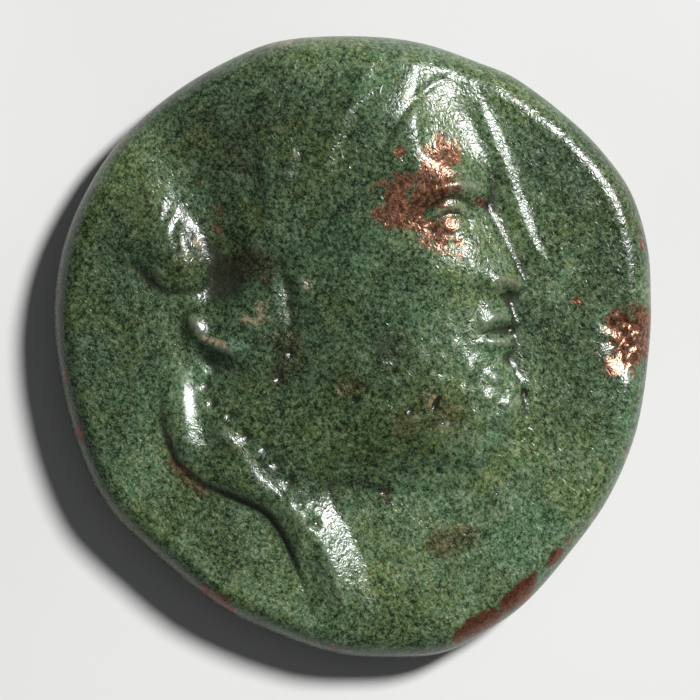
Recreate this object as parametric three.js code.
// A struck bronze coin lying on its plainer side, with a bearded head facing right in high, worn relief.
// Millimetres, +Z up, with +Y towards the top of the head.
// The origin is under the coin's middle, on its lowest face.

import * as THREE from 'three';

// Heights of the flan: its rounded edge is widest at EDGE_HEIGHT, and the struck field lies at FIELD_HEIGHT.
const EDGE_HEIGHT = 1.3;
const FIELD_HEIGHT = 2.6;
const MEAN_RADIUS = 11;
const TOP_SHOULDER = 0.95;
const FOOT_SHOULDER = 0.95;

// The foot is a flat worn ring, and the field of the reverse is sunk inside it.
const FOOT_WIDTH = 1.1;
const REVERSE_DEPTH = 0.3;
const REVERSE_SLOPE = 0.7;
const REVERSE_CLEARANCE = 0.05;

// The mesh: rings of points, closer together on the struck face.
const FACE_RINGS = 29;
const SHOULDER_RINGS = 4;
const FOOT_RINGS = 3;
const REVERSE_RINGS = 15;
const WEAR_REACH = 0.18;
const CURVE_STEPS = 6;

// The uneven outline of the hammered flan, anticlockwise from the right.
const RIM = [
  [10.65, 0], [10.7, 1.7], [10.6, 3.5], [10.1, 5.3], [9.3, 6.6], [8, 8], [6, 9.55], [4.55, 10.2],
  [2.5, 10.9], [0.4, 11.15], [-2.2, 11.05], [-4, 10.5], [-6.3, 9.2], [-8.3, 7.45], [-9.6, 5.5],
  [-10.4, 3.5], [-10.7, 1.3], [-10.5, -1], [-9.9, -3.4], [-8.85, -5.65], [-7, -7.5], [-4.75, -9.3],
  [-2.4, -10.4], [-0.4, -11], [1.7, -11.1], [3.2, -10.95], [4.4, -10.4], [6.1, -9.25], [7.75, -7.4],
  [9.2, -5.35], [10.2, -2.9],
];

// The face is laid out in thirds of its height, measured from the base of the nose.
const FACE_BASE = [5.25, 1.75];
const FACE_THIRD = 3.6;
const FACE_TILT = 5;

const FOREHEAD = [[-0.11, 1.8], [-0.01, 1.5], [0.01, 1.22], [0, 1.04]];
const NOSE = [[-0.045, 0.9], [0.03, 0.66], [0.15, 0.36], [0.235, 0.17], [0.215, 0.07], [0.08, 0.01]];
const MOUTH = [
  [0.1, -0.14], [0.115, -0.24], [0.045, -0.32], [0.095, -0.39], [0.095, -0.49], [0.02, -0.6],
];
const CHIN = [
  [0.075, -0.74], [0.13, -0.98], [0.12, -1.28], [0.02, -1.56], [-0.2, -1.78], [-0.5, -1.9],
];
const BEARD = [
  [0.15, -0.62], [0.25, -0.98], [0.2, -1.28], [0.06, -1.6], [-0.22, -1.8], [-0.6, -1.84], [-1.05, -1.6],
  [-1.5, -1.15], [-1.82, -0.6], [-1.92, -0.1], [-1.76, 0.06], [-1.5, -0.18], [-1.05, -0.36],
  [-0.66, -0.27], [-0.42, -0.2], [-0.34, -0.42], [-0.12, -0.6],
];

// The rest of the head's outline, in millimetres: neck, rolled hair at the nape, and back of the headdress.
const NECK_FRONT = [
  [2.4, -5.3], [1.3, -5.1], [0.3, -4.9], [-0.5, -4.8], [-0.9, -4.95], [-0.75, -5.5], [-0.25, -6.2],
  [0.15, -7], [0.48, -7.9], [0.68, -8.8], [0.8, -9.8], [0.9, -12],
];
const ROLL_OUTER = [
  [-5.6, -0.95], [-6.2, -0.95], [-6.6, -1.35], [-6.77, -1.9], [-6.77, -2.5], [-6.6, -3.3], [-6.15, -4.2],
  [-5.3, -4.9], [-4.2, -5.35], [-3.15, -5.85], [-2.6, -6.5], [-2.2, -7.3], [-1.85, -8.2], [-1.5, -9.3],
  [-1.2, -11.9],
];
const HEAD_BACK = [
  [-5.5, -0.75], [-5.8, -0.35], [-6, 0.3], [-6, 1], [-5.7, 1.6], [-5.2, 2.2], [-4.85, 2.9], [-4.95, 4],
  [-5.4, 5.3], [-6.2, 6.8], [-7.6, 8.6], [-6.5, 12.3], [4.6, 12.3], [4.5, 10.6], [4.4, 9.7], [4.4, 8.9],
];

// Lines of the headdress: the crest's tail and its valley, the bowl, the ear flap and the fold over the brow.
const TAIL_UNDER = [
  [-9.6, 4.2], [-9, 3.4], [-8.38, 3.05], [-7.6, 2.85], [-7.2, 2.4], [-6.75, 2.05], [-6, 2.02],
  [-5.2, 2.14], [-4.7, 2.2],
];
const VALLEY = [[-6.2, 8], [-5.95, 6.6], [-5.4, 5.2], [-4.95, 4.1], [-4.7, 3.1], [-4.6, 2.4], [-4.6, 1.75]];
const BOWL_EDGE = [
  [-6.4, 9.6], [-5.75, 7.2], [-5.1, 5.2], [-4.5, 4], [-4.1, 3.3], [-3.55, 2.9], [-2.9, 2.95], [-2, 3.4],
  [-0.5, 4.2], [1.5, 4.6],
];
const EAR_FLAP = [
  [-4, 1.05], [-3.66, 1.7], [-3.23, 2.3], [-2.8, 2.7], [-2.48, 2.52], [-2.3, 1.88], [-2.2, 1.05],
  [-2.41, 0.5], [-3.13, 0.25], [-3.84, 0.45],
];
const MAIN_FOLD = [[4.3, 10.3], [3.6, 9.8], [2.8, 9.35], [2.05, 8.66], [1.6, 7.95], [1.15, 7.2], [0.8, 6.6]];

// Raised lines on the headdress: three folds, the guard before the brow, the strip's rim and the ear's front.
const FOLD_LINES = [
  [[1.3, 9.9], [0.55, 9.13], [-0.1, 8.4], [-0.6, 7.4], [-1.1, 6], [-1.4, 4.9]],
  [[1.9, 10.9], [1.05, 10.4], [0.45, 9.8], [0.1, 9.1]],
  [[-1.95, 7.3], [-2.15, 6.7], [-2.4, 6.1], [-2.6, 5.5]],
];
const GUARD = [[3.9, 9.8], [4.4, 8.9], [4.9, 7.8], [5.4, 6.6], [5.9, 5.05], [6.4, 3.75], [7, 2.6]];
const STRIP_RIM = [[-5.72, 1.55], [-5.66, 0.85], [-5.4, 0.33], [-4.95, 0.08], [-4.4, -0.08], [-3.6, -0.05]];
const EAR_FRONT = [[-2.05, 2.8], [-1.85, 2.35], [-1.6, 1.6]];

// Grooves of the headdress: under the strip, in front of the ear flap and down its middle.
const STRIP_GROOVE = [[-5.85, 0.1], [-5.5, -0.35], [-4.8, -0.6], [-4.1, -0.66], [-3.5, -0.6]];
const FLAP_GROOVE = [[-2.5, 2.9], [-2.28, 2.1], [-2.15, 1.2], [-2.15, 0.4]];
const FLAP_CREASE = [[-3.75, 1.2], [-3.5, 1.9], [-3.05, 2.6]];

// The lesser ridge along the inner side of the rolled hair.
const ROLL_INNER = [[-5.15, -2.5], [-4.62, -3.05], [-4.05, -3.75], [-3.5, -4.4], [-3.1, -4.85]];

// The chip in the right-hand edge.
const CHIP = { at: [9.95, 0.3], size: [0.95, 1.25], height: 0.26, turn: 12, power: 2 };

// The reverse: a wreath of two branches round a plain boss.
const WREATH_RADIUS = 5.6;
const WREATH_SPAN = 150;
const WREATH_LEAVES = 9;
const LEAF_LENGTH = 1.5;
const LEAF_WIDTH = 0.75;
const LEAF_HEIGHT = 0.2;
const LEAF_SPREAD = 0.55;
const LEAF_LEAN = 30;
const BOSS_RADIUS = 1.6;

const clamp01 = (value) => Math.min(Math.max(value, 0), 1);

// 0 to 1 with soft ends.
function smooth(value) {
  const t = clamp01(value);
  return t * t * (3 - 2 * t);
}

// 0 to 1 as a rounded edge rises: steep at its foot and level at its top.
function rise(distance, width) {
  return Math.sqrt(1 - (1 - clamp01(distance / width)) ** 2);
}

// 0 to 1 as an even slope with softened ends.
function incline(value) {
  return 0.75 * clamp01(value) + 0.25 * smooth(value);
}

// A smooth line through points, as a list of short straight steps.
function curve(points, closed = false) {
  const count = points.length;
  const spans = closed ? count : count - 1;
  const pick = (i) => points[closed ? (i + count) % count : Math.min(Math.max(i, 0), count - 1)];
  const line = [];
  for (let i = 0; i < spans; i++) {
    const [p0, p1, p2, p3] = [pick(i - 1), pick(i), pick(i + 1), pick(i + 2)];
    for (let s = 0; s < CURVE_STEPS; s++) {
      const t = s / CURVE_STEPS;
      line.push([0, 1].map((k) => {
        const bend = 2 * p0[k] - 5 * p1[k] + 4 * p2[k] - p3[k];
        const twist = 3 * (p1[k] - p2[k]) + p3[k] - p0[k];
        return p1[k] + 0.5 * t * (p2[k] - p0[k] + t * (bend + t * twist));
      }));
    }
  }
  line.push(closed ? line[0] : points[count - 1]);
  return line;
}

// The nearest place on a line: how far it is, on which side, and what share of the way along.
function nearest(line, x, y) {
  let best = Infinity;
  let side = 1;
  let along = 0;
  let travelled = 0;
  for (let i = 0; i + 1 < line.length; i++) {
    const [ax, ay] = line[i];
    const dx = line[i + 1][0] - ax;
    const dy = line[i + 1][1] - ay;
    const length = Math.hypot(dx, dy);
    const t = clamp01(((x - ax) * dx + (y - ay) * dy) / (length * length));
    const gapX = x - ax - t * dx;
    const gapY = y - ay - t * dy;
    const gap = Math.hypot(gapX, gapY);
    if (gap < best) {
      best = gap;
      side = dx * gapY - dy * gapX >= 0 ? 1 : -1;
      along = travelled + t * length;
    }
    travelled += length;
  }
  return { distance: best, side, share: along / travelled };
}

// Distance in from a closed line, negative outside it.
function inside(line, x, y) {
  let within = false;
  for (let i = 0; i + 1 < line.length; i++) {
    const [ax, ay] = line[i];
    const [bx, by] = line[i + 1];
    if (ay > y !== by > y && x < ((bx - ax) * (y - ay)) / (by - ay) + ax) within = !within;
  }
  const { distance } = nearest(line, x, y);
  return within ? distance : -distance;
}

// Distance from an open line, positive to the left of the way it runs.
function sideOf(line, x, y) {
  const { distance, side, share } = nearest(line, x, y);
  return { offset: distance * side, share };
}

// A raised line with its own half width on each side, which fades in and out along its length.
function ridge({ line, height, left, right, start = 0.3, end = 0.4 }, x, y) {
  const { distance, side, share } = nearest(line, x, y);
  const width = side > 0 ? left : right;
  const fadeIn = start > 0 ? smooth(share / start) : 1;
  return height * Math.exp(-((distance / (0.6 * width)) ** 2)) * fadeIn * smooth((1 - share) / end);
}

// A rounded rise with an elliptical foot.
function bump({ at, size, height = 1, turn = 0, power = 1 }, x, y) {
  const angle = THREE.MathUtils.degToRad(turn);
  const u = (x - at[0]) * Math.cos(angle) + (y - at[1]) * Math.sin(angle);
  const v = (y - at[1]) * Math.cos(angle) - (x - at[0]) * Math.sin(angle);
  return height * Math.exp(-(((u / size[0]) ** 2 + (v / size[1]) ** 2) ** power));
}

// A place on the face, in thirds of it: forwards, then upwards.
function facePoint([forward, up]) {
  const angle = THREE.MathUtils.degToRad(FACE_TILT);
  const [c, s] = [Math.cos(angle), Math.sin(angle)];
  return [
    FACE_BASE[0] + FACE_THIRD * (forward * c - up * s),
    FACE_BASE[1] + FACE_THIRD * (forward * s + up * c),
  ];
}

const onFace = (points) => points.map(facePoint);

const FIGURE = [
  ...onFace([...FOREHEAD, ...NOSE, ...MOUTH, ...CHIN]),
  ...NECK_FRONT,
  ...[...ROLL_OUTER].reverse(),
  ...HEAD_BACK,
];
const LINES = {
  rim: curve(RIM, true),
  figure: curve(FIGURE, true),
  beard: curve(onFace(BEARD), true),
  tailUnder: curve(TAIL_UNDER),
  valley: curve(VALLEY),
  bowl: curve(BOWL_EDGE),
  flap: curve(EAR_FLAP, true),
  fold: curve(MAIN_FOLD),
  roll: curve(ROLL_OUTER),
};

const DRESS_RIDGES = [
  { line: curve(FOLD_LINES[0]), height: 0.12, left: 0.3, right: 0.9 },
  { line: curve(FOLD_LINES[1]), height: 0.11, left: 0.3, right: 0.6 },
  { line: curve(FOLD_LINES[2]), height: 0.11, left: 0.26, right: 0.5 },
  { line: curve(GUARD), height: 0.115, left: 0.3, right: 0.8, start: 0.15, end: 0.13 },
  { line: curve(STRIP_RIM), height: 0.21, left: 0.56, right: 0.42, start: 0.25, end: 0.35 },
  { line: curve(EAR_FRONT), height: 0.1, left: 0.32, right: 0.3 },
  { line: curve(ROLL_INNER), height: 0.12, left: 0.36, right: 0.5 },
];
const DRESS_GROOVES = [
  { line: curve(STRIP_GROOVE), height: 0.15, left: 0.36, right: 0.6 },
  { line: curve(FLAP_GROOVE), height: 0.14, left: 0.24, right: 0.7 },
  { line: curve(FLAP_CREASE), height: 0.07, left: 0.16, right: 0.2 },
];

// Raised lines of the face, in thirds of it: brow, lids, bridge of the nose, moustache and lower lip.
const faceLine = (points, height, left, right, ends = {}) => (
  { line: curve(onFace(points)), height, left, right, ...ends }
);
const FACE_RIDGES = [
  faceLine([[0, 0.98], [-0.2, 1.12], [-0.5, 1.12], [-0.85, 0.95]], 0.15, 0.45, 0.36),
  faceLine([[-0.2, 0.77], [-0.3, 0.9], [-0.48, 0.92], [-0.72, 0.76]], 0.1, 0.22, 0.2),
  faceLine([[-0.2, 0.74], [-0.36, 0.64], [-0.54, 0.66], [-0.72, 0.76]], 0.08, 0.2, 0.2),
  faceLine([[-0.05, 0.98], [0.03, 0.64], [0.13, 0.34], [0.14, 0.1]], 0.13, 0.42, 0.55),
  faceLine([[0.12, -0.16], [-0.08, -0.2], [-0.3, -0.33]], 0.14, 0.3, 0.32),
  faceLine([[0.1, -0.43], [-0.08, -0.43], [-0.24, -0.38]], 0.12, 0.26, 0.28),
];

// Grooves of the face: from the nostril to the corner of the mouth, and between the lips.
const FACE_GROOVES = [
  faceLine([[-0.12, 0.3], [-0.19, 0.08], [-0.26, -0.12], [-0.36, -0.34]], 0.1, 0.3, 0.35),
  faceLine([[0.1, -0.32], [-0.12, -0.32], [-0.3, -0.37]], 0.13, 0.14, 0.14, { start: 0 }),
];
const SOCKET = { at: facePoint([-0.34, 0.8]), size: [1.05, 0.66], height: 0.27, turn: FACE_TILT + 8 };
const CHEEK = { at: facePoint([-0.62, 0.36]), size: [1.25, 0.85], height: 0.15, turn: -22 };
const EYE = { at: facePoint([-0.42, 0.77]), size: [0.62, 0.42], height: 0.2, turn: 1, power: 1.4 };
const NOSTRIL = { at: facePoint([0, 0.12]), size: [0.42, 0.32], height: 0.19, turn: 10 };

// Broad forms of the head, and the hollows of the headdress.
const SKULL = { at: [1.7, 4.6], size: [4.9, 5.9], height: 0.7, turn: 10, power: 1.25 };
const JAW = { at: [1.6, -1.6], size: [4, 3.2], height: 0.2, power: 1.2 };
const THROAT = { at: [1.6, -4.6], size: [2.8, 1.5] };
const BROW_HAIR = { at: [2.5, 7.5], size: [1.8, 2.1], height: 0.2, turn: 40, power: 1.2 };
const TAIL_HOLLOW = { at: [-4.5, 2.2], size: [1.05, 0.68], height: 0.42, turn: 50, power: 1.4 };
const SADDLE = { at: [-5.4, -0.55], size: [1.2, 1.1], height: 0.2, power: 1.2 };
const FLAP_GAP = { at: [-5.5, 2], size: [0.9, 0.7], height: 0.3 };
const TAIL_KNOB = { at: [-6.85, 2.68], size: [0.28, 0.2], height: 0.12, turn: -20 };

const sum = (shape, features, x, y) => features.reduce((total, feature) => total + shape(feature, x, y), 0);

// The crest's tail swells slowly from the rim, and drops into the valley beside the skull.
function crestTail(x, y) {
  const { offset, share } = sideOf(LINES.valley, x, y);
  const far = Math.max(-offset - 0.28, 0);
  const under = sideOf(LINES.tailUnder, x, y).offset;
  const width = 1.5 - 0.5 * smooth(share / 0.5);
  const height = 0.04 + 0.27 * smooth((share - 0.46) / 0.18);
  const lobe = height * smooth(far / width) * (1 - 0.75 * smooth((far - width) / 2.4));
  const reach = 1.3 + 2.2 * smooth((y - 4.2) / 2);
  const base = 0.19 * smooth((x + 9.2) / 2.4) * rise(under, 0.3) * smooth(far / reach);
  const ends = smooth((9 - y) / 3.5) * smooth((y - 1.4) / 0.5) * smooth((-x - 4.2) / 0.4);
  return (lobe * smooth((under + 0.15) / 1.2) + base) * ends;
}

// The broad fold over the brow, which ends at a groove, and the bulge of hair beyond the groove.
function mainFold(x, y) {
  const { offset, share } = sideOf(LINES.fold, x, y);
  const fade = smooth(share / 0.1) * smooth((1 - share) / 0.6);
  const edge = 0.12 * rise(-offset, 0.26) + 0.24 * smooth(-offset / 1.5);
  const cloth = edge * smooth(1 + offset / 3.4) * fade;
  return cloth + smooth((offset + 0.02) / 0.3) * bump(BROW_HAIR, x, y);
}

// Staggered rows of short worn curls over the beard, lower towards the ear.
const CURL_ROWS = 6;
const CURLS_PER_ROW = 8;
const CURLS = [];
for (let row = 0; row < CURL_ROWS; row++) {
  for (let k = 0; k < CURLS_PER_ROW; k++) {
    const at = facePoint([0.02 - 0.25 * k + 0.12 * (row % 2), -0.64 - 0.22 * row + 0.1 * k]);
    CURLS.push({ at, size: [0.44, 0.34], height: 1 - 0.08 * k, turn: 40 + 13 * (k % 3) });
  }
}

function beard(x, y) {
  const depth = inside(LINES.beard, x, y);
  if (depth < -0.3) return 0;
  const curls = Math.max(...CURLS.map((curl) => bump(curl, x, y)));
  return 0.08 * smooth((depth + 0.3) / 1.2) + 0.15 * (curls - 0.25) * smooth((depth - 0.05) / 0.6);
}

function face(x, y, inner) {
  const forms = inner * (bump(CHEEK, x, y) - bump(SOCKET, x, y)) + bump(EYE, x, y) + bump(NOSTRIL, x, y);
  return forms + sum(ridge, FACE_RIDGES, x, y) - sum(ridge, FACE_GROOVES, x, y);
}

// The rolled hair bulges along the nape, lower at its upper end and at its bend.
function hairRoll(x, y) {
  const { offset, share } = sideOf(LINES.roll, x, y);
  const upperEnd = 0.3 + 0.7 * smooth((share - 0.04) / 0.22);
  const bend = 0.24 * Math.exp(-(((share - 0.355) / 0.06) ** 2));
  const height = 0.34 * smooth((0.75 - share) / 0.25) * upperEnd - bend;
  return height * Math.exp(-(Math.abs((offset - 0.64) / 0.52) ** 2.2)) * smooth(share / 0.05);
}

// The head's plateau: a worn edge that slopes more gently at the neck, jaw, brow and back of the headdress.
function plateau(x, y, depth, brow) {
  const neck = smooth((-y - 4.2) / 1.8) * smooth((x + 2.2) / 0.8);
  const jawEdge = smooth((-y - 1.8) / 1.5) * smooth((x - 0.6) / 1.2);
  const back = smooth((y - 2.2) / 1.2) * smooth((-x - 2.5) / 1);
  const nape = smooth((-0.3 - y) / 0.8) * smooth((-1.6 - x) / 0.9);
  const front = 0.72 + 0.45 * neck + 1.2 * jawEdge + 1.9 * brow + 1.6 * bump(THROAT, x, y) * (1 - neck);
  const width = front + back * (0.5 + 2.3 * smooth((y - 3) / 2.5));
  const gentle = Math.max(0.4, neck, jawEdge, brow, back);
  const edge = (1 - gentle) * rise(depth, width) + gentle * incline(depth / width);
  const lowEdge = 0.42 * rise(depth, 0.28) + 0.58 * smooth((depth - 0.2) / 1.9);
  const level = 0.47 - 0.17 * smooth((-x - 4.2) / 1.4) * smooth((2.4 - y) / 1.5) - bump(FLAP_GAP, x, y);
  return level * (edge * (1 - nape) + lowEdge * nape);
}

// Height of the relief over the field, which dies away towards the rim and the foot of the neck.
function relief(x, y) {
  const depth = inside(LINES.figure, x, y);
  const brow = smooth((y - 5.6) / 1.6) * smooth((x - 1.5) / 1.2);
  const inner = (1 - brow) * smooth((depth + 0.05) / 1.5) + brow * incline(depth / 2.6);
  const bowlSide = smooth((sideOf(LINES.bowl, x, y).offset + 0.1) / 0.9) * smooth((-x - 0.3) / 3.4);
  const bowl = 0.2 * bowlSide * (1 - smooth((y - 3.3) / 3));
  const hollows = bump(TAIL_HOLLOW, x, y) + bump(SADDLE, x, y) * smooth(depth / 0.6);
  const head = plateau(x, y, depth, brow) + inner * (bump(SKULL, x, y) + bump(JAW, x, y) + bowl) - hollows;
  const dress = sum(ridge, DRESS_RIDGES, x, y) - sum(ridge, DRESS_GROOVES, x, y) + bump(TAIL_KNOB, x, y);
  const cloth = crestTail(x, y) + mainFold(x, y) + 0.05 * rise(inside(LINES.flap, x, y), 0.4);
  const carved = head + dress + cloth + face(x, y, inner) + beard(x, y) + hairRoll(x, y);
  return carved * smooth((y + 10.4) / 1.9) * (0.4 + 0.6 * smooth(inside(LINES.rim, x, y) / 3.2));
}

// The same relief rubbed down by wear: each height is shared with the places just around it.
function wornRelief(x, y) {
  const places = [[0, 0], [1, 0], [0, 1], [-1, 0], [0, -1]];
  const heights = places.map(([u, v]) => relief(x + u * WEAR_REACH, y + v * WEAR_REACH));
  return heights.reduce((total, height) => total + height, 0) / places.length;
}

// Height of the device on the reverse: a wreath whose two branches meet above, and a boss.
function reverseDevice(x, y) {
  let height = bump({ at: [0, 0], size: [BOSS_RADIUS, BOSS_RADIUS], height: LEAF_HEIGHT, power: 2 }, x, y);
  for (let i = 0; i < WREATH_LEAVES; i++) {
    const degrees = WREATH_SPAN * (i / (WREATH_LEAVES - 1) - 0.5);
    const angle = THREE.MathUtils.degToRad(degrees);
    for (const lean of [-1, 1]) {
      const reach = WREATH_RADIUS + LEAF_SPREAD * lean;
      const leaf = { size: [LEAF_LENGTH / 2, LEAF_WIDTH / 2], height: LEAF_HEIGHT, power: 1.4 };
      const at = [reach * Math.cos(angle), reach * Math.sin(angle)];
      const right = { ...leaf, at, turn: degrees + 90 - LEAF_LEAN * lean };
      const left = { ...leaf, at: [-at[0], at[1]], turn: -right.turn };
      height = Math.max(height, bump(right, x, y), bump(left, x, y));
    }
  }
  return height;
}

const inset = (share) => (1 - share) * MEAN_RADIUS;

// Height of the struck face at a point whose distance from the middle is a share of the outline's.
function struckFace(x, y, share) {
  if (share > 1 - 1e-9) return EDGE_HEIGHT;
  const struck = (FIELD_HEIGHT + wornRelief(x, y) - EDGE_HEIGHT) * rise(inset(share), TOP_SHOULDER);
  return EDGE_HEIGHT + struck - bump(CHIP, x, y) * rise(inset(share), TOP_SHOULDER);
}

// Height of the underside: a rounded lower edge, the flat foot, and the sunk field with its device.
function underside(x, y, share) {
  const past = inset(share) - FOOT_SHOULDER;
  if (past < -1e-9) return EDGE_HEIGHT * (1 - rise(inset(share), FOOT_SHOULDER));
  const sunk = REVERSE_DEPTH * smooth((past - FOOT_WIDTH) / REVERSE_SLOPE);
  return sunk === 0 ? 0 : Math.max(sunk - reverseDevice(x, y), REVERSE_CLEARANCE);
}

// Shares of the way from the middle to the edge at which the rings lie, and how many points each has.
function evenRings(count, outerShare) {
  return Array.from({ length: count }, (_, i) => {
    return { share: (outerShare * (i + 1)) / count, points: 6 * (i + 1) };
  });
}

function shoulderRings(count, shoulder, points) {
  return Array.from({ length: count }, (_, i) => {
    const angle = ((i + 1) / count) * (Math.PI / 2);
    return { share: 1 - (shoulder * (1 - Math.sin(angle))) / MEAN_RADIUS, points };
  });
}

// The outline walked evenly, so that a share of the way round gives a point.
function rimPoint(turn) {
  const steps = LINES.rim.length - 1;
  const place = turn * steps;
  const i = Math.floor(place) % steps;
  const t = place - Math.floor(place);
  return [0, 1].map((k) => LINES.rim[i][k] * (1 - t) + LINES.rim[i + 1][k] * t);
}

// Adds one ring of vertices, and returns their numbers with how far round the coin each one is.
function addRing(vertices, { share, points }, heightAt) {
  return Array.from({ length: points }, (_, i) => {
    const [x, y] = rimPoint(i / points).map((value) => value * share);
    vertices.push(x, y, heightAt(x, y, share));
    return { index: vertices.length / 3 - 1, turn: i / points };
  });
}

// Fills the band between two rings that may have different numbers of points.
function stitch(triangles, inner, outer, facingUp) {
  let i = 0;
  let j = 0;
  const at = (ring, k) => ring[k % ring.length].index;
  const turnOf = (ring, k) => ring[k % ring.length].turn + Math.floor(k / ring.length);
  while (i < inner.length || j < outer.length) {
    const stepOuter = i >= inner.length || (j < outer.length && turnOf(outer, j + 1) <= turnOf(inner, i + 1));
    const face = stepOuter
      ? [at(inner, i), at(outer, j), at(outer, j + 1)]
      : [at(inner, i), at(outer, j), at(inner, i + 1)];
    triangles.push(...(facingUp ? face : face.reverse()));
    if (stepOuter) j++;
    else i++;
  }
}

// One face of the coin from its middle outwards, which returns its outermost ring.
function addFace(vertices, triangles, rings, heightAt, facingUp) {
  vertices.push(0, 0, heightAt(0, 0, 0));
  let previous = [{ index: vertices.length / 3 - 1, turn: 0 }];
  for (const ring of rings) {
    const next = addRing(vertices, ring, heightAt);
    if (previous.length === 1) {
      next.forEach(({ index }, k) => {
        const face = [previous[0].index, index, next[(k + 1) % next.length].index];
        triangles.push(...(facingUp ? face : face.reverse()));
      });
    } else {
      stitch(triangles, previous, next, facingUp);
    }
    previous = next;
  }
  return previous;
}

function coinGeometry() {
  const vertices = [];
  const triangles = [];
  const edgePoints = 6 * FACE_RINGS;
  const topRings = [
    ...evenRings(FACE_RINGS, 1 - TOP_SHOULDER / MEAN_RADIUS),
    ...shoulderRings(SHOULDER_RINGS, TOP_SHOULDER, edgePoints),
  ];
  const footInner = 1 - (FOOT_SHOULDER + FOOT_WIDTH) / MEAN_RADIUS;
  const underRings = [
    ...evenRings(REVERSE_RINGS, footInner),
    { share: 1 - FOOT_SHOULDER / MEAN_RADIUS, points: edgePoints },
    ...shoulderRings(FOOT_RINGS, FOOT_SHOULDER, edgePoints).slice(0, -1),
  ];
  const edge = addFace(vertices, triangles, topRings, struckFace, true);
  const lower = addFace(vertices, triangles, underRings, underside, false);
  stitch(triangles, lower, edge, false);
  const geometry = new THREE.BufferGeometry();
  geometry.setAttribute('position', new THREE.Float32BufferAttribute(vertices, 3));
  geometry.setIndex(triangles);
  geometry.computeBoundingBox();
  const middle = geometry.boundingBox.getCenter(new THREE.Vector3());
  geometry.translate(-middle.x, -middle.y, 0);
  geometry.computeVertexNormals();
  return geometry;
}

const bronze = new THREE.MeshStandardMaterial({ color: 0x3c5a3e, roughness: 0.42, metalness: 0.35 });
const coin = new THREE.Mesh(coinGeometry(), bronze);
coin.name = 'coin';

const part = new THREE.Group();
part.name = 'bronze_coin';
part.add(coin);

export default part;
